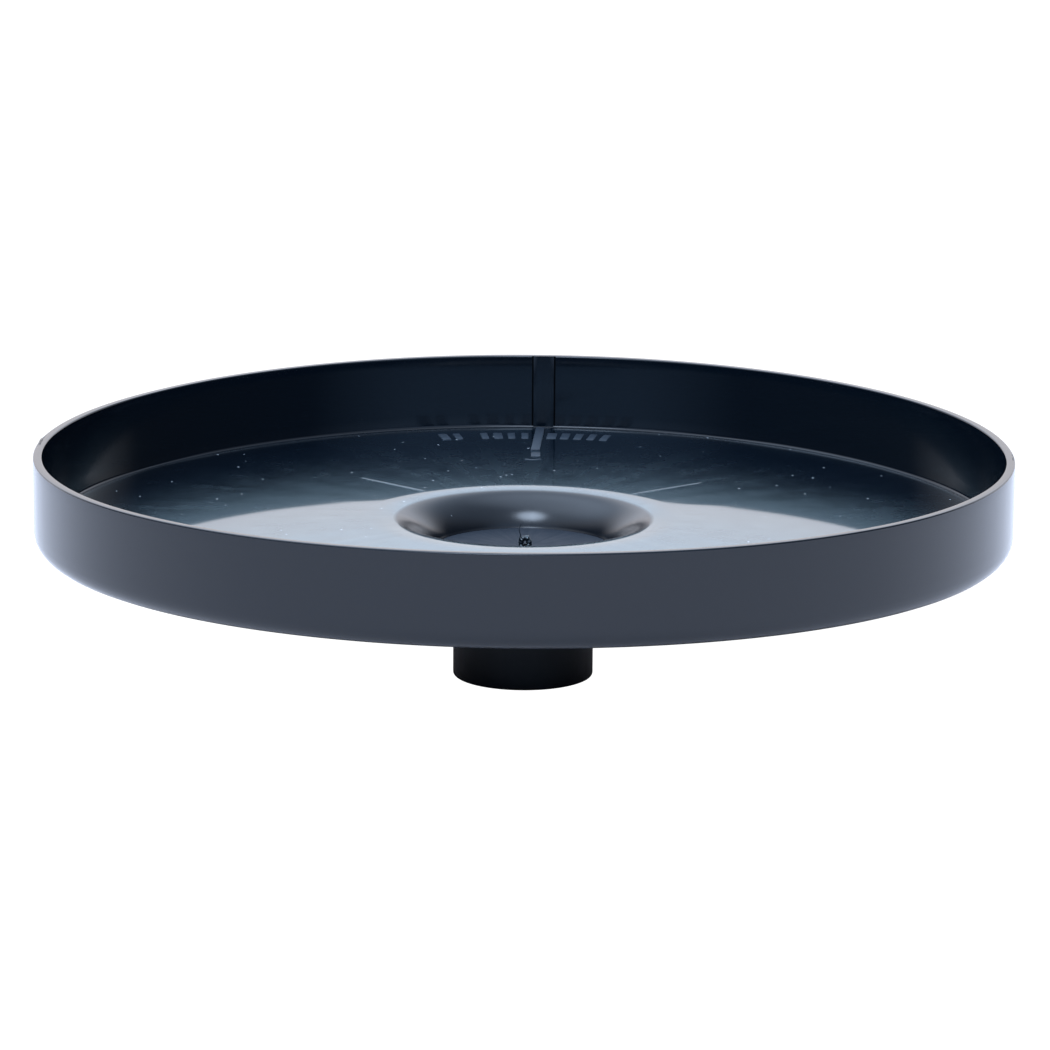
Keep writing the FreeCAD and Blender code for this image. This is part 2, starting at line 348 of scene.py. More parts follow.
def lathe_tree():
    """Turns the object's line of points about Z: one grid column for each step round."""
    tree, source = shape_tree("Lathe", {"Segments": "Int"})
    outline = source["Geometry"]
    segments = source["Segments"]
    count = add_node(tree, "GeometryNodeAttributeDomainSize",
                     inputs={"Geometry": outline}).outputs["Point Count"]
    columns = operate(tree, "ADD", segments, 1, kind="FunctionNodeIntegerMath")
    grid = add_node(tree, "GeometryNodeMeshGrid", inputs={
        "Vertices X": columns, "Vertices Y": count})
    index = add_node(tree, "GeometryNodeInputIndex")
    column = operate(tree, "DIVIDE", index, count, kind="FunctionNodeIntegerMath")
    row = operate(tree, "MODULO", index, count, kind="FunctionNodeIntegerMath")
    place = add_node(tree, "GeometryNodeInputPosition")
    point = add_node(tree, "GeometryNodeSampleIndex", {"data_type": "FLOAT_VECTOR"}, {
        "Geometry": outline, "Value": place, "Index": row})
    share = operate(tree, "DIVIDE", column, segments)
    turn = operate(tree, "MULTIPLY", share, math.tau)
    swung = add_node(tree, "ShaderNodeVectorRotate", {"rotation_type": "Z_AXIS"},
                     {"Vector": point, "Angle": turn})
    shaped = add_node(tree, "GeometryNodeSetPosition", inputs={
        "Geometry": grid.outputs["Mesh"], "Position": swung})
    closed = add_node(tree, "GeometryNodeMergeByDistance",
                      inputs={"Geometry": shaped, "Distance": 1e-6})
    return end_tree(tree, closed, source)


def about_z(tree, turn):
    """Rotation by a turn about Z."""
    euler = add_node(tree, "ShaderNodeCombineXYZ", inputs={"Z": turn})
    return add_node(tree, "FunctionNodeEulerToRotation", inputs={0: euler})


def rib_tree():
    """Copies of the object's mesh about Z, in pairs each side of the Y axis, the back pair first."""
    tree, source = shape_tree("Rib Cross", {"Count": "Int", "Middle": "Float", "Spread": "Float"})
    points = heap(tree, source)
    index = add_node(tree, "GeometryNodeInputIndex")
    half = operate(tree, "DIVIDE", index, 2, kind="FunctionNodeIntegerMath")
    parity = operate(tree, "MODULO", index, 2, kind="FunctionNodeIntegerMath")
    middle = operate(tree, "MULTIPLY_ADD", half, math.pi, source["Middle"])
    side = operate(tree, "MULTIPLY_ADD", parity, 2.0, -1.0)
    turn = operate(tree, "MULTIPLY_ADD", side, source["Spread"], middle)
    copies = add_node(tree, "GeometryNodeInstanceOnPoints", inputs={
        "Points": points, "Instance": source["Geometry"], "Rotation": about_z(tree, turn)})
    return end_tree(tree, copies, source)


def pad_row_tree():
    """Row of the object's mesh along an arc about Z, with uneven widths and two gaps."""
    tree, source = shape_tree("Pad Row", {
        "Count": "Int", "Radius": "Float", "Height": "Float", "Start": "Float", "Step": "Float",
        "First Gap": "Int", "Second Gap": "Int", "Seed": "Int"})
    points = heap(tree, source)
    index = add_node(tree, "GeometryNodeInputIndex")
    turn = operate(tree, "MULTIPLY_ADD", index, source["Step"], source["Start"])
    home = add_node(tree, "ShaderNodeCombineXYZ", inputs={
        "X": source["Radius"], "Z": source["Height"]})
    place = add_node(tree, "ShaderNodeVectorRotate", {"rotation_type": "Z_AXIS"},
                     {"Vector": home, "Angle": turn})
    spaced = add_node(tree, "GeometryNodeSetPosition", inputs={
        "Geometry": points, "Position": place})
    others = [add_node(tree, "FunctionNodeCompare", {"data_type": "INT", "operation": "NOT_EQUAL"},
                       {"A": index, "B": source[gap]})
              for gap in ("First Gap", "Second Gap")]
    kept = operate(tree, "AND", *others, kind="FunctionNodeBooleanMath")
    width = add_node(tree, "FunctionNodeRandomValue", inputs={
        "Min": 0.8, "Max": 1.2, "Seed": source["Seed"]})
    scale = add_node(tree, "ShaderNodeCombineXYZ", inputs={
        "X": 1.0, "Y": width.outputs["Value"], "Z": 1.0})
    copies = add_node(tree, "GeometryNodeInstanceOnPoints", inputs={
        "Points": spaced, "Selection": kept, "Instance": source["Geometry"],
        "Rotation": about_z(tree, turn), "Scale": scale})
    return end_tree(tree, copies, source)


def grow(obj, tree, values):
    """Runs a geometry tree on an object and leaves the result as its plain mesh."""
    modifier = obj.modifiers.new("Build", "NODES")
    modifier.node_group = tree
    for item in tree.interface.items_tree:
        if item.in_out == "INPUT" and item.name in values:
            modifier[item.identifier] = values[item.name]
    grown = bpy.data.meshes.new_from_object(
        obj.evaluated_get(bpy.context.evaluated_depsgraph_get()))
    grown.name = obj.name
    obj.modifiers.remove(modifier)
    obj.data = grown
    mark_edges(grown)


def turned(name, points, segments, material):
    """Piece of revolution from an outline of radii and heights."""
    obj = outline_object(name, points)
    grow(obj, lathe_tree(), {"Segments": segments, "Material": material})
    return obj


# ---------------------------------------------------------------- materials


def empty_material(name):
    """Material whose node tree is empty, and the tree."""
    material = bpy.data.materials.new(name)
    material.use_nodes = True
    material.node_tree.nodes.clear()
    return material, material.node_tree


def moulded_plastic(name, base, dust, haze, grain, gloss=0.0, ior=1.36, specks=0.6, spread=0.0,
                    skin=(0.70, 0.90, 1.0, 1.0), fade=(0.0, MM)):
    """Injection-moulded black ABS.

    A polished tool leaves a sharp skin gloss over a broad haze that is a little blue, so a clear
    thin coat lies on a rougher base; a satin tool leaves only the haze. The gloss fades in between
    the two radii of fade. The largest noise is the slow change of gloss where the melt cooled
    unevenly, the upright one is the draw of the tool as the part left it, the one that fans out from
    the axis is the flow of the melt, and the fine one is the faint grain of a handled surface. Dust
    lies on top in specks about 0.6 mm across, in the cells whose chance is over specks.
    """
    material, tree = empty_material(name)
    place = add_node(tree, "ShaderNodeTexCoord").outputs["Object"]
    cloud = noise(tree, place, 1 / CLOUD, 3.0)
    upright = operate(tree, "MULTIPLY", place, (1.0, 1.0, 0.04), kind="ShaderNodeVectorMath")
    draw = noise(tree, upright, 1 / DRAW_MARK, 2.0)
    fine = noise(tree, place, 1 / GRAIN, 2.0)
    flat = operate(tree, "MULTIPLY", place, (1.0, 1.0, 0.0), kind="ShaderNodeVectorMath")
    radius = operate(tree, "LENGTH", flat, kind="ShaderNodeVectorMath").outputs["Value"]
    heading = operate(tree, "NORMALIZE", flat, kind="ShaderNodeVectorMath")
    fan = noise(tree, heading, FAN_SCALE, 4.0)
    uneven = operate(tree, "ADD", operate(tree, "ADD", cloud, draw), fan)
    rough = map_range(tree, uneven, *NOISE_SPAN, haze * 0.8, haze * 1.2)
    cells = add_node(tree, "ShaderNodeTexVoronoi", inputs={
        "Vector": place, "Scale": 1 / DUST_CELL, "Randomness": 1.0})
    speck = map_range(tree, cells.outputs["Distance"], *SPECK_EDGE, 1.0, 0.0)
    chance = operate(tree, "GREATER_THAN", cells.outputs["Color"], specks)
    dusty = operate(tree, "MULTIPLY", speck, chance)
    paint = mix(tree, dusty, base, dust)
    clean = map_range(tree, dusty, 0.0, 1.0, gloss, 0.0)
    rise = map_range(tree, radius, *fade, kind="SMOOTHSTEP")
    coat = operate(tree, "MULTIPLY", clean, rise)
    relief = add_node(tree, "ShaderNodeBump", inputs={
        "Strength": grain, "Distance": 0.02 * MM, "Height": fine})
    around = add_node(tree, "ShaderNodeTangent", {"direction_type": "RADIAL", "axis": "Z"})
    shader = add_node(tree, "ShaderNodeBsdfPrincipled", inputs={
        "Base Color": paint, "Roughness": rough, "Normal": relief, "IOR": ior,
        "Specular IOR Level": 0.5, "Anisotropic": spread, "Tangent": around,
        "Coat Weight": coat, "Coat Roughness": 0.045, "Coat IOR": 1.36, "Coat Tint": skin})
    add_node(tree, "ShaderNodeOutputMaterial", inputs={"Surface": shader})
    return material


def moulded_rubber(base, grey):
    """Compression-moulded nitrile rubber: matt, with a fine bloom that greys it in patches."""
    material, tree = empty_material("Nitrile rubber, matt")
    place = add_node(tree, "ShaderNodeTexCoord").outputs["Object"]
    bloom = noise(tree, place, 1 / BLOOM_PATCH, 4.0)
    paint = mix(tree, bloom, base, grey)
    relief = add_node(tree, "ShaderNodeBump", inputs={
        "Strength": 0.3, "Distance": 0.03 * MM, "Height": bloom})
    shader = add_node(tree, "ShaderNodeBsdfPrincipled", inputs={
        "Base Color": paint, "Roughness": 0.75, "Normal": relief, "IOR": 1.52})
    add_node(tree, "ShaderNodeOutputMaterial", inputs={"Surface": shader})
    return material


# Every finish: the material's name, its colour, and what moulded_plastic needs to know.
FINISHES = {
    # Polished floor of the tray: a sharp gloss over a wide haze, with dust on it.
    "floor": ("Moulded ABS, gloss black", "tray", {
        "haze": 0.25, "gloss": 1.0, "grain": 0.1, "ior": 1.5, "specks": 0.5, "spread": 0.45}),
    # Walls and underside of the tray: a soft, even sheen.
    "satin": ("Moulded ABS, satin black", "tray", {
        "haze": 0.12, "grain": 0.1, "ior": 1.45, "specks": 1.0}),
    # Bell mouth: satin, with the floor's gloss running out over its edge.
    "bell": ("Moulded ABS, soft satin", "tray", {
        "haze": 0.2, "gloss": 1.0, "grain": 0.2, "ior": 1.5, "specks": 0.8,
        "fade": (35.0 * MM, 37.0 * MM)}),
    # Face of the strip on the wall: a little duller than the wall.
    "strip": ("Moulded ABS, strip", "tray", {
        "haze": 0.2, "grain": 0.2, "ior": 1.5, "specks": 0.9}),
    # Disc of the spigot: a fine matt texture with almost no reflection, and a lighter colour than the
    # spigot's sides, which is painted light from above.
    "disc": ("Moulded ABS, matt disc, painted light", "disc", {
        "haze": 0.6, "grain": 0.3, "ior": 1.28, "specks": 0.85}),
    # Shut lines where the tool's parts meet: painted shade, a dark, dull finish with a low IOR
    # standing in for the shade in the grooves.
    "groove_shade": ("Moulded ABS, shut-line painted shade", "groove_shade", {
        "haze": 0.7, "grain": 0.5, "ior": 1.15, "specks": 1.0}),
    # Marks on the floor from spark-eroded parts of the tool: matt and greyer.
    "eroded": ("Moulded ABS, spark-eroded", "mark", {"haze": 0.5, "grain": 0.6, "ior": 1.5}),
    # Sides of the spigot: black with a dull sheen.
    "spigot": ("Moulded ABS, spigot", "spigot", {
        "haze": 0.42, "grain": 0.15, "ior": 1.4, "specks": 0.8}),
    # Gate stub: stretched, torn plastic with small bright glints.
    "torn": ("Moulded ABS, torn", "spigot", {"haze": 0.3, "gloss": 1.0, "grain": 0.9, "ior": 1.5}),
    # Collar: satin nylon, a little greyer than the spigot.
    "nylon": ("Moulded nylon, satin", "collar", {"haze": 0.5, "grain": 0.5}),
}


def finish(kind):
    """Material of one of the finishes, made once."""
    name, base, values = FINISHES[kind]
    colours = bpy.context.scene.stand_colours
    return bpy.data.materials.get(name) or moulded_plastic(
        name, getattr(colours, base), colours.dust, **values)


# ---------------------------------------------------------------- tray


def tray_heights(sizes):
    """Mean heights of the rim, foot ring and floor, so that the warped rim just meets its box."""
    rim = TRAY_HIGH.z - sizes.warp
    foot = rim - sizes.wall_height
    floor_edge = rim - sizes.floor_depth
    lip = floor_edge + sizes.lip_rise
    return rim, foot, floor_edge, lip


def crest_height(sizes, r):
    """Height of the floor's upper face at a radius: straight, then level, then falling to the bell."""
    _, _, floor_edge, lip = tray_heights(sizes)
    run = sizes.radius - sizes.wall - sizes.level_radius
    ease = sizes.level_radius - sizes.lip_radius
    slope = sizes.lip_rise / (run + ease / 2)
    if r > sizes.level_radius:
        return floor_edge + slope * (sizes.radius - sizes.wall - r)
    if r > sizes.lip_radius:
        return lip - slope * (r - sizes.lip_radius) ** 2 / (2 * ease)
    return lip - (sizes.lip_radius - r) ** 2 / (2 * CREST_ROUND)


def bell_points(sizes, thickness, inner, steps):
    """Points of the bell mouth's face, that far under the upper face, from its start inwards."""
    start = math.asin((sizes.lip_radius - sizes.bell_radius) / CREST_ROUND)
    top = Vector((sizes.bell_radius, crest_height(sizes, sizes.bell_radius)))
    centre = top - sizes.bell_round * Vector((-math.sin(start), math.cos(start)))
    radius = sizes.bell_round - thickness
    end = math.asin((centre.x - inner) / radius)
    slopes = [start + (end - start) * step / steps for step in range(steps + 1)]
    return [(centre.x - radius * math.sin(a), centre.y + radius * math.cos(a), 0) for a in slopes]


def tray_outline(sizes):
    """Closed section of the tray: wall, floor, bell mouth, seat, boss and underside."""
    rim, foot, floor_edge, _ = tray_heights(sizes)
    inner = sizes.radius - sizes.wall
    steps = 7
    easing = [inner - 2 * MM, sizes.level_radius + 12 * MM]
    for start, end in ((sizes.level_radius, sizes.lip_radius), (sizes.lip_radius, sizes.bell_radius)):
        easing += [start + (end - start) * step / steps for step in range(steps)]
    under_bell = bell_points(sizes, sizes.floor, sizes.boss_radius, 12)[::-1]
    corners = [
        (sizes.radius, foot, sizes.edge_round),
        (sizes.radius, rim, 0.4 * MM),
        (inner, rim, 0.4 * MM),
        (inner, floor_edge, 1.0 * MM),
        *[(r, crest_height(sizes, r), 0) for r in easing],
        *bell_points(sizes, 0, sizes.seat_radius + 0.3 * MM, 24),
        (sizes.seat_radius, SPIGOT_HIGH.z - 0.9 * MM, 0),
        (sizes.seat_radius, SEAL_LOW.z, 0),
        (sizes.bore_radius, SEAL_LOW.z, 0),
        (sizes.bore_radius, COLLAR_HIGH.z, 0.3 * MM),
        (sizes.boss_radius, COLLAR_HIGH.z, 0.8 * MM),
        *under_bell,
        (sizes.foot_ring, foot, 0),
    ]
    points = divided(rounded(corners), 3 * MM)
    return points + divided([points[-1], points[0]], 3 * MM)[1:]


def floor_relief(sizes, r, turn):
    """Height that the ribs below and the flow of the melt leave on the floor's upper face."""
    height = 0.0
    along = min(1.0, max(0.0, (r - sizes.level_radius) / (sizes.rib_end - sizes.level_radius)))
    window = math.sin(math.pi * along) ** 0.7
    for middle in (sizes.line_middle, sizes.line_middle - math.pi):
        for side in (-1, 1):
            off = math.remainder(turn - middle - side * sizes.line_spread, math.tau)
            if abs(off) > 0.6:
                continue
            across = r * math.sin(off)
            height -= LINE_DIP * window * math.exp(-(across / LINE_HALF_WIDTH) ** 2)
            for streak, depth, width in FLOW_STREAKS:
                beside = r * math.sin(off - side * streak)
                height += depth * MM * window * math.exp(-(beside / (width * MM)) ** 2)
    ripple = math.sin(math.tau * (r - sizes.lip_radius) / RIPPLE_LENGTH)
    return height + RIPPLE_HEIGHT * ripple * window


def saddle(sizes, r, turn):
    """How far the warp lifts the tray at a radius and a turn from +X."""
    reach = max(0.0, (r - sizes.lip_radius) / (sizes.radius - sizes.lip_radius))
    return -sizes.warp * math.cos(2 * (turn + WARP_TURN)) * reach ** 2


def shape_tray(mesh, sizes):
    """Moves the turned shell's points: saddle warp, floor relief, and a slightly wavy wall."""
    outer = sizes.radius - sizes.wall
    for vertex in mesh.vertices:
        x, y, z = vertex.co
        r = math.hypot(x, y)
        turn = math.atan2(y, x)
        lift = saddle(sizes, r, turn)
        if sizes.lip_radius < r < outer - 1.2 * MM and abs(z - crest_height(sizes, r)) < 0.5 * MM:
            lift += floor_relief(sizes, r, turn)
        vertex.co.z = z + lift
        if r > outer - 0.1 * MM:
            wave = 0.05 * MM * math.sin(5 * turn + 1.1) + 0.03 * MM * math.sin(13 * turn + 0.4)
            shrink = (r - abs(wave) - wave) / r
            vertex.co.x *= shrink
            vertex.co.y *= shrink


def finish_zones(mesh, sizes):
    """Satin walls and a softer bell mouth round a polished floor."""
    mesh.materials.clear()
    for material in (finish("floor"), finish("satin"), finish("bell")):
        mesh.materials.append(material)
    outer = sizes.radius - sizes.wall
    for face in mesh.polygons:
        r = math.hypot(face.center.x, face.center.y)
        if face.normal.z <= 0.1 or r >= outer - 0.9 * MM:
            face.material_index = 1
        else:
            face.material_index = 0 if r > sizes.bell_radius else 2


def finish_piece(obj, slot, *replaced):
    """Rides the piece on the root body and hides the nodes it stands for; the slot is not used."""
    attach(obj, BODY)
    if replaced:
        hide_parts(*replaced)


class STAND_OT_tray_shell(bpy.types.Operator):
    """Turn the tray's section into its shell, then warp it and raise the marks on its floor"""
    bl_idname = "stand.tray_shell"
    bl_label = "Tray Shell"

    def execute(self, context):
        sizes = context.scene.stand_tray
        shell = turned("tray_shell", tray_outline(sizes), TRAY_STEPS, finish("floor"))
        shape_tray(shell.data, sizes)
        finish_zones(shell.data, sizes)
        finish_piece(shell, "tray_plastic", "tray")
        return {"FINISHED"}


def floor_height(sizes, place):
    """Height of the floor's upper face at an (x, y) place."""
    r = place.length
    return crest_height(sizes, r) + saddle(sizes, r, math.atan2(place.y, place.x))


def prism(form, outline, low, high):
    """Adds an upright prism over an outline of (x, y) points to a bmesh."""
    bottom = [form.verts.new((x, y, low)) for x, y in outline]
    top = [form.verts.new((x, y, high)) for x, y in outline]
    count = len(outline)
    form.faces.new(top)
    form.faces.new(bottom[::-1])
    for i in range(count):
        j = (i + 1) % count
        form.faces.new((bottom[i], bottom[j], top[j], top[i]))


def bevel_all(form, offset, segments=2):
    """Rounds every edge of a bmesh."""
    bmesh.ops.bevel(form, geom=form.edges[:], offset=offset, segments=segments, profile=0.5,
                    affect="EDGES", clamp_overlap=True)


def tube(form, path, widths, sides=10, closed=False):
    """Adds a round tube to a bmesh along a path, with its radius at each point."""
    loops = []
    normal = None
    count = len(path)
    for i, (point, width) in enumerate(zip(path, widths)):
        before = path[i - 1] if i or closed else point
        after = path[(i + 1) % count] if closed or i < count - 1 else point
        along = (after - before).normalized()
        normal = normal or along.orthogonal()
        normal = (normal - along * normal.dot(along)).normalized()
        beside = along.cross(normal)
        loops.append([form.verts.new(point + width * (math.cos(a) * normal + math.sin(a) * beside))
                      for a in (math.tau * side / sides for side in range(sides))])
    for lower, upper in zip(loops, loops[1:] + loops[:1] if closed else loops[1:]):
        for i in range(sides):
            j = (i + 1) % sides
            form.faces.new((lower[i], lower[j], upper[j], upper[i]))
    if not closed:
        form.faces.new(loops[0][::-1])
        form.faces.new(loops[-1])


def curve_through(points, steps):
    """Smooth path through points, with that many steps between neighbours."""
    padded = [points[0] * 2 - points[1], *points, points[-1] * 2 - points[-2]]
    path = [points[0]]
    for before, start, end, after in zip(padded, padded[1:], padded[2:], padded[3:]):
        for step in range(1, steps + 1):
            t = step / steps
            path.append(0.5 * (2 * start + (end - before) * t
                               + (2 * before - 5 * start + 4 * end - after) * t ** 2
                               + (3 * start - before - 3 * end + after) * t ** 3))
    return path


class STAND_OT_under_ribs(bpy.types.Operator):
    """Set four radial ribs under the floor, and the fine lines above them where the melt joined"""
    bl_idname = "stand.under_ribs"
    bl_label = "Under Ribs"

    def execute(self, context):
        sizes = context.scene.stand_tray
        copies = rib_tree()
        self.make_ribs(sizes, copies)
        self.make_lines(sizes, copies)
        return {"FINISHED"}

    def make_ribs(self, sizes, copies):
        """Four deep, tapering ribs from the boss outwards, in an even cross."""
        _, foot, floor_edge, lip = tray_heights(sizes)
        side = [
            (sizes.boss_radius - 1 * MM, COLLAR_HIGH.z + 2 * MM),
            (sizes.lip_radius, foot - 2 * MM),
            (sizes.rib_end, foot),
            (sizes.rib_end, floor_edge - 1 * MM),
            (sizes.lip_radius, lip - sizes.floor / 2),
            (sizes.lip_radius - 7 * MM, lip - 3.4 * MM),
            (sizes.boss_radius - 1 * MM, COLLAR_HIGH.z + 8.6 * MM),
        ]
        form = bmesh.new()
        prism(form, side, -sizes.rib_width / 2, sizes.rib_width / 2)
        bevel_all(form, 0.25 * MM)
        # The prism stands along Z: lay it down so its outline is radius and height.
        form.transform(Matrix.Rotation(math.pi / 2, 4, "X"))
        ribs = mesh_object("tray_ribs", form)
        grow(ribs, copies, {"Count": 4, "Middle": math.pi / 2, "Spread": sizes.rib_spread,
                            "Material": finish("satin")})
        finish_piece(ribs, "tray_plastic")

    def make_lines(self, sizes, copies):
        """Two fine raised lines at the back, which sink into the floor as they run outwards."""
        reach = 30 * MM
        steps = 40
        path = []
        for step in range(steps + 1):
            share = step / steps
            r = sizes.lip_radius + reach * share
            sunk = 0.9 * MM + 0.12 * MM * share + 0.3 * MM * max(0.0, 1 - 8 * share)
            path.append(Vector((r, 0, crest_height(sizes, r) - sunk)))
        form = bmesh.new()
        tube(form, path, [1.1 * MM] * len(path), 48)
        lines = mesh_object("rib_lines", form)
        # The right one lies a few degrees off its rib, as the melt joined there.
        grow(lines, copies, {"Count": 2, "Middle": sizes.line_middle, "Spread": sizes.line_spread,
                             "Material": finish("floor")})
        finish_piece(lines, "tray_plastic")


class STAND_OT_wall_strip(bpy.types.Operator):
    """Raise the upright strip on the inner wall, on a slightly wider band of painted shade whose dark
    edges stand for the two fine shut lines of the tool
    """
    bl_idname = "stand.wall_strip"
    bl_label = "Wall Strip"

    def execute(self, context):
        sizes = context.scene.stand_tray
        self.make_band("wall_strip", sizes, sizes.strip_half, sizes.strip_proud, finish("strip"))
        # Painted shade: the wider dark band shows each side of the strip as the shade in the shut
        # lines.
        self.make_band("strip_groove_shade", sizes, sizes.shut_shade_half, sizes.shut_shade_proud, finish("groove_shade"))
        return {"FINISHED"}

    def make_band(self, name, sizes, half_width, proud, material):
        """Upright band on the inner wall, from the floor nearly to the rim."""
        rim, _, floor_edge, _ = tray_heights(sizes)
        inner = sizes.radius - sizes.wall
        half = half_width / inner
        steps = 6
        across = [sizes.strip_turn + half * (2 * i / steps - 1) for i in range(steps + 1)]
        outline = [((inner - proud) * math.cos(a), (inner - proud) * math.sin(a)) for a in across]
        buried = inner + 0.8 * MM
        outline += [(buried * math.cos(a), buried * math.sin(a)) for a in reversed(across)]
        form = bmesh.new()
        prism(form, outline, floor_edge - 0.5 * MM, rim - 0.1 * MM)
        bevel_all(form, 0.05 * MM)
        form.transform(Matrix.Translation((0, 0, sizes.warp)))
        solid_piece(name, form, material, "tray_plastic")


class STAND_OT_floor_marks(bpy.types.Operator):
    """Set the raised bar, its end mark and a row of plain pads at the back of the floor"""
    bl_idname = "stand.floor_marks"
    bl_label = "Floor Marks"

    def execute(self, context):
        sizes = context.scene.stand_tray
        self.make_bar(sizes)
        self.make_pads(sizes)
        return {"FINISHED"}

    def make_bar(self, sizes):
        """Slanted bar from the foot of the strip, then a small block and a thin crescent."""
        form = bmesh.new()
        start, end = Vector((4.9, 129.5)) * MM, Vector((3.3, 96.0)) * MM
        half = Vector((1.35 * MM, 0))
        low = floor_height(sizes, start) - 0.3 * MM
        prism(form, [end - half, end + half, start + half, start - half], low,
              floor_height(sizes, end) + 0.4 * MM)
        block = Vector((3.4, 89.2)) * MM
        half, reach = Vector((1.4 * MM, 0)), Vector((0, 2.9 * MM))
        prism(form, [block - half - reach, block + half - reach, block + half + reach,
                     block - half + reach], low, floor_height(sizes, block) + 0.25 * MM)
        bevel_all(form, 0.12 * MM)
        home = Vector((2.6, 82.5)) * MM
        home = home.to_3d() + Vector((0, 0, floor_height(sizes, home) - 0.2 * MM))
        crescent = [home + MM * Vector((2.2 * x, -0.9 * (1 - x * x), 0))
                    for x in (i / 6 - 1 for i in range(13))]
        tube(form, crescent, [0.38 * MM] * 13)
        solid_piece("floor_bar", form, finish("eroded"), "tray_plastic")

    def make_pads(self, sizes):
        """Row of plain raised pads, a stand-in for the maker's raised marks."""
        form = bmesh.new()
        bmesh.ops.create_cube(form, size=1.0)
        form.transform(Matrix.Diagonal((8.2 * MM, 2.5 * MM, 0.8 * MM, 1.0)))
        bevel_all(form, 0.18 * MM)
        pads = mesh_object("floor_pads", form)
        radius = 119.5 * MM
        grow(pads, pad_row_tree(), {
            "Count": 13, "Radius": radius,
            "Height": floor_height(sizes, Vector((0, radius))) - 0.2 * MM,
            "Start": math.radians(101.6), "Step": math.radians(-1.95), "First Gap": 2,
            "Second Gap": 7, "Seed": 4, "Material": finish("eroded")})
        finish_piece(pads, "tray_plastic")


class STAND_OT_tool_marks(bpy.types.Operator):
    """Leave the tool's ring mark on the outer wall and torn flash at two places on the rim"""
    bl_idname = "stand.tool_marks"
    bl_label = "Tool Marks"

    def execute(self, context):
        sizes = context.scene.stand_tray
        form = bmesh.new()
        self.add_ring(form, sizes)
        for middle, reach, tall, seed in FLASH:
            self.add_flash(form, sizes, middle, reach, tall * MM, seed)
        solid_piece("tool_marks", form, finish("satin"), "tray_plastic")
        return {"FINISHED"}

    def add_ring(self, form, sizes):
        """Low raised ring, about 5 mm across, just under the rim on the outer wall."""
        rim = tray_heights(sizes)[0] + sizes.warp
        turn = math.radians(-92.4)
        drop, reach, thick = 3.2 * MM, 1.9 * MM, 0.5 * MM
        across = Vector((-math.sin(turn), math.cos(turn), 0))
        home = Vector((math.cos(turn), math.sin(turn), 0)) * (sizes.radius - 0.52 * MM)
        home.z = rim - drop
        steps = 40
        path = [home + reach * (math.cos(a) * across + math.sin(a) * Vector((0, 0, 1)))
                for a in (math.tau * step / steps for step in range(steps))]
        tube(form, path, [thick] * steps, closed=True)

    def add_flash(self, form, sizes, middle, reach, tallest, seed):
        """Ragged fin of flash on the rim's outer edge, that many degrees each way."""
        draw = random.Random(seed)
        steps = 18
        rows = []
        for step in range(steps + 1):
            share = step / steps
            turn = math.radians(middle + reach * (2 * share - 1))
            z = tray_heights(sizes)[0] + saddle(sizes, sizes.radius, turn)
            tall = tallest * math.sin(math.pi * share) * draw.random() ** 2
            rows.append([form.verts.new((r * math.cos(turn), r * math.sin(turn), z + lift))
                         for r, lift in ((sizes.radius - 0.9 * MM, -0.2 * MM),
                                         (sizes.radius - 0.5 * MM, tall),
                                         (sizes.radius - 0.3 * MM, -0.2 * MM))])
        for here, there in zip(rows, rows[1:]):
            for i in range(3):
                j = (i + 1) % 3
                form.faces.new((here[i], here[j], there[j], there[i]))
        form.faces.new(rows[0][::-1])
        form.faces.new(rows[-1])


# ---------------------------------------------------------------- hub


class STAND_OT_spigot(bpy.types.Operator):
    """Turn the flanged hollow spigot and leave the torn gate stub on its disc"""
    bl_idname = "stand.spigot"
    bl_label = "Hub Spigot"

    def execute(self, context):
        sizes = context.scene.stand_spigot
        disc = SPIGOT_HIGH.z - sizes.gate_height
        flange_under = disc - sizes.flange
        points = rounded([
            (0, disc, 0),
            (sizes.flange_radius, disc, 0.45 * MM),
            (sizes.flange_radius, flange_under, 0.2 * MM),
            (sizes.shank_radius, flange_under, 0),
            (sizes.shank_radius, COLLAR_LOW.z, 0.15 * MM),
            (sizes.radius, COLLAR_LOW.z, 0),
            (sizes.radius, SPIGOT_LOW.z, 0.8 * MM),
            (sizes.socket_radius, SPIGOT_LOW.z, 0.3 * MM),
            (sizes.socket_radius, disc - sizes.cap, 0.8 * MM),
            (0, disc - sizes.cap, 0),
        ])
        spigot = turned("spigot", divided(points, 4 * MM), SPIGOT_STEPS,
                        finish("spigot"))
        spigot.data.materials.clear()
        for material in (finish("spigot"), finish("disc")):
            spigot.data.materials.append(material)
        # Painted light: the top face takes the lighter disc colour, the sides under the tray the dark
        # spigot colour.
        for face in spigot.data.polygons:
            face.material_index = int(face.center.z > disc - 0.2 * MM)
        finish_piece(spigot, "spigot_plastic", "hub_spigot")
        self.make_gate(disc)
        return {"FINISHED"}

    def make_gate(self, disc):
        """Torn stub: a thick curl of plastic, and the thread that it drew out as it tore."""
        draw = random.Random(7)
        form = bmesh.new()
        home = Vector((0, 0, disc))
        curl = curve_through([home + MM * Vector(p) for p in (
            (-0.6, 0, -0.4), (-0.7, 0.1, 1.4), (-0.2, 0, 2.6), (0.7, -0.2, 2.9),
            (1.4, -0.1, 2.1), (1.5, 0, 1.1), (1.0, 0.1, 0.4), (0.5, -0.3, 1.0))], 4)
        tube(form, curl, [(0.62 + 0.35 * draw.random()) * MM for _ in curl])
        thread = curve_through([home + MM * Vector(p) for p in (
            (-1.1, 0, -0.3), (-1.25, 0.1, 1.8), (-0.9, 0, 3.6), (-1.25, -0.1, 5.2),
            (-0.7, 0, 6.9))], 6)
        tube(form, thread, [(0.2 - 0.14 * i / len(thread)) * MM for i in range(len(thread))], 6)
        solid_piece("gate_stub", form, finish("torn"), "spigot_plastic")


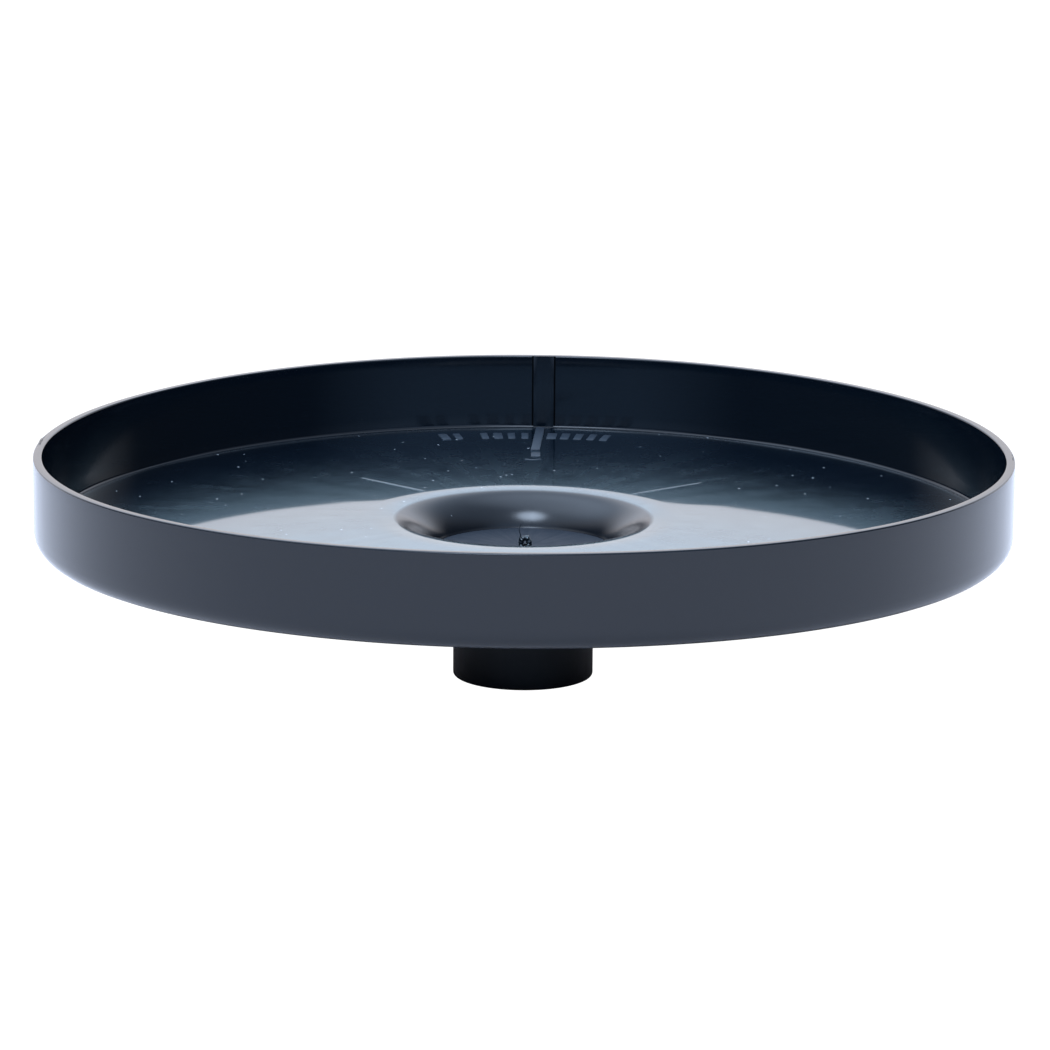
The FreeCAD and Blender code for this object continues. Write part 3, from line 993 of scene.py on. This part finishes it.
class STAND_OT_seal_and_collar(bpy.types.Operator):
    """Turn the flat seal under the flange and the collar pressed on the spigot's shank"""
    bl_idname = "stand.seal_and_collar"
    bl_label = "Seal and Collar"

    def execute(self, context):
        colours = context.scene.stand_colours
        shank = context.scene.stand_spigot.shank_radius
        seal_inner = shank + 0.6 * MM
        self.make_ring("seal", seal_inner, SEAL_LOW, SEAL_HIGH, 0.2 * MM,
                       moulded_rubber(colours.rubber, colours.bloom), "seal_rubber", "hub_seal")
        self.make_ring("collar", shank, COLLAR_LOW, COLLAR_HIGH, 0.6 * MM,
                       finish("nylon"), "collar_plastic", "lock_collar")
        return {"FINISHED"}

    def make_ring(self, name, inner, low, high, edge, material, slot, node):
        """Ring of rectangular section with rounded edges, which stands for a CAD node."""
        points = rounded([(inner, low.z, edge / 2), (high.x, low.z, edge),
                          (high.x, high.z, edge), (inner, high.z, edge / 2)])
        ring = turned(name, points + points[:1], RING_STEPS, material)
        finish_piece(ring, slot, node)


# ---------------------------------------------------------------- stage


class STAND_OT_stage(bpy.types.Operator):
    """Lay a matt white floor, hang white soft light round it and set the camera"""
    bl_idname = "stand.stage"
    bl_label = "Stage"

    def execute(self, context):
        settings = context.scene.stand_stage
        self.make_floor(settings)
        self.make_sky(context, settings)
        self.make_camera(context, settings)
        context.scene.view_settings.view_transform = "Standard"
        return {"FINISHED"}

    def make_floor(self, settings):
        form = bmesh.new()
        bmesh.ops.create_grid(form, x_segments=1, y_segments=1, size=settings.floor_size / 2)
        floor = mesh_object("floor", form)
        material, tree = empty_material("Matt white floor")
        matt = add_node(tree, "ShaderNodeBsdfDiffuse", inputs={"Color": settings.floor})
        lit = add_node(tree, "ShaderNodeEmission", inputs={
            "Color": grey(1.0), "Strength": settings.floor_glow})
        # A floor lit from below as well: seen directly it keeps only a trace of the shadow.
        seen = add_node(tree, "ShaderNodeLightPath")
        share = operate(tree, "MULTIPLY", seen.outputs["Is Camera Ray"],
                        settings.floor_white)
        mixed = add_node(tree, "ShaderNodeMixShader", inputs={0: share, 1: matt, 2: lit})
        add_node(tree, "ShaderNodeOutputMaterial", inputs={"Surface": mixed})
        floor.data.materials.append(material)

    def make_sky(self, context, settings):
        """White backdrop, dim sides, a soft panel behind the camera and a soft box overhead."""
        world = bpy.data.worlds.new("Studio")
        world.use_nodes = True
        tree = world.node_tree
        tree.nodes.clear()
        way = add_node(tree, "ShaderNodeTexCoord").outputs["Generated"]
        parts = add_node(tree, "ShaderNodeSeparateXYZ", inputs={0: way})
        tint = self.ramp(tree, parts.outputs["Z"], (0.2, 0.8), (
            (0.02, settings.backdrop_light), (0.14, settings.band_light),
            (0.40, settings.band_light), (0.75, settings.top_light)))
        # From the front, which is 0, past the dark sides to the backdrop, which is 1.
        low = self.ramp(tree, parts.outputs["Y"], (-1.0, 1.0), (
            (0.0, settings.front_light), (0.07, settings.front_light),
            (0.22, grey(settings.side_light)), (0.68, grey(settings.side_light)),
            (0.88, grey(1.0)), (1.0, grey(1.0))))
        upper = self.ramp(tree, parts.outputs["X"], (-1.0, 1.0), (
            (0.0, grey(1.25)), (1.0, grey(0.3))))
        above = map_range(tree, parts.outputs["Z"], 0.25, 0.75, kind="SMOOTHSTEP")
        tinted = mix(tree, 1.0, mix(tree, above, low, upper), tint, "MULTIPLY")
        shader = add_node(tree, "ShaderNodeBackground", inputs={
            "Color": tinted, "Strength": settings.backdrop})
        for direction, edge, strength in SOFT_BOXES:
            facing = operate(tree, "DOT_PRODUCT", way,
                             Vector(direction).normalized(), kind="ShaderNodeVectorMath")
            lobe = map_range(tree, facing.outputs["Value"], edge, 1.0, 0.0,
                             strength * settings.key_light, "SMOOTHSTEP")
            lamp = add_node(tree, "ShaderNodeBackground", inputs={
                "Color": settings.top_light, "Strength": lobe})
            shader = add_node(tree, "ShaderNodeAddShader", inputs={0: shader, 1: lamp})
        # The camera itself sees plain white, however dim the light is from that side.
        seen = add_node(tree, "ShaderNodeLightPath")
        plain = add_node(tree, "ShaderNodeBackground", inputs={"Color": grey(1.0)})
        shown = add_node(tree, "ShaderNodeMixShader", inputs={
            0: seen.outputs["Is Camera Ray"], 1: shader, 2: plain})
        add_node(tree, "ShaderNodeOutputWorld", inputs={"Surface": shown})
        context.scene.world = world

    def ramp(self, tree, value, span, stops):
        """Colour ramp over a span of values, with (place, RGBA) stops."""
        node = add_node(tree, "ShaderNodeValToRGB", inputs={0: map_range(tree, value, *span)})
        points = node.color_ramp.elements
        while len(points) < len(stops):
            points.new(0.5)
        for point, (place, rgba) in zip(points, stops):
            point.position = place
            point.color = rgba
        return node

    def make_camera(self, context, settings):
        """Camera that looks at the middle of the rim, then is panned, tilted and rolled a little."""
        rim = tray_heights(context.scene.stand_tray)[0]
        back = Vector((0, -math.cos(settings.elevation), math.sin(settings.elevation)))
        forward = -back
        right = Vector((1, 0, 0))
        up = right.cross(forward)
        turn = Matrix.Rotation(settings.pan, 3, up)
        right, forward = turn @ right, turn @ forward
        turn = Matrix.Rotation(settings.tilt, 3, right)
        up, forward = turn @ up, turn @ forward
        turn = Matrix.Rotation(settings.roll, 3, forward)
        right, up = turn @ right, turn @ up
        data = bpy.data.cameras.new("Camera")
        data.sensor_width = 36.0
        data.lens = settings.lens
        data.clip_start = 0.05
        camera = bpy.data.objects.new("Camera", data)
        pose = Matrix((right, up, -forward)).transposed().to_4x4()
        pose.translation = Vector((0, 0, rim)) + back * settings.distance
        camera.matrix_world = pose
        context.scene.collection.objects.link(camera)
        context.scene.camera = camera


# ---------------------------------------------------------------- add-on


class STAND_PT_panel(bpy.types.Panel):
    """Buttons that build the tray, in order"""
    bl_label = "Stand Tray"
    bl_idname = "STAND_PT_panel"
    bl_space_type = "VIEW_3D"
    bl_region_type = "UI"
    bl_category = "Stand Tray"

    def draw(self, context):
        for operator in OPERATORS:
            self.layout.operator(operator.bl_idname)


GROUPS = {
    "stand_tray": TraySizes,
    "stand_spigot": SpigotSizes,
    "stand_colours": PlasticColours,
    "stand_stage": StageSettings,
}
OPERATORS = (
    STAND_OT_tray_shell,
    STAND_OT_under_ribs,
    STAND_OT_wall_strip,
    STAND_OT_floor_marks,
    STAND_OT_tool_marks,
    STAND_OT_spigot,
    STAND_OT_seal_and_collar,
    STAND_OT_stage,
)


def register():
    for name, group in GROUPS.items():
        bpy.utils.register_class(group)
        setattr(bpy.types.Scene, name, bpy.props.PointerProperty(type=group))
    for cls in (*OPERATORS, STAND_PT_panel):
        bpy.utils.register_class(cls)


def unregister():
    for cls in (STAND_PT_panel, *reversed(OPERATORS)):
        bpy.utils.unregister_class(cls)
    for name, group in reversed(GROUPS.items()):
        delattr(bpy.types.Scene, name)
        bpy.utils.unregister_class(group)


def main():
    register()
    for operator in OPERATORS:
        section, name = operator.bl_idname.split(".")
        getattr(getattr(bpy.ops, section), name)()


if __name__ == "__main__":
    main()
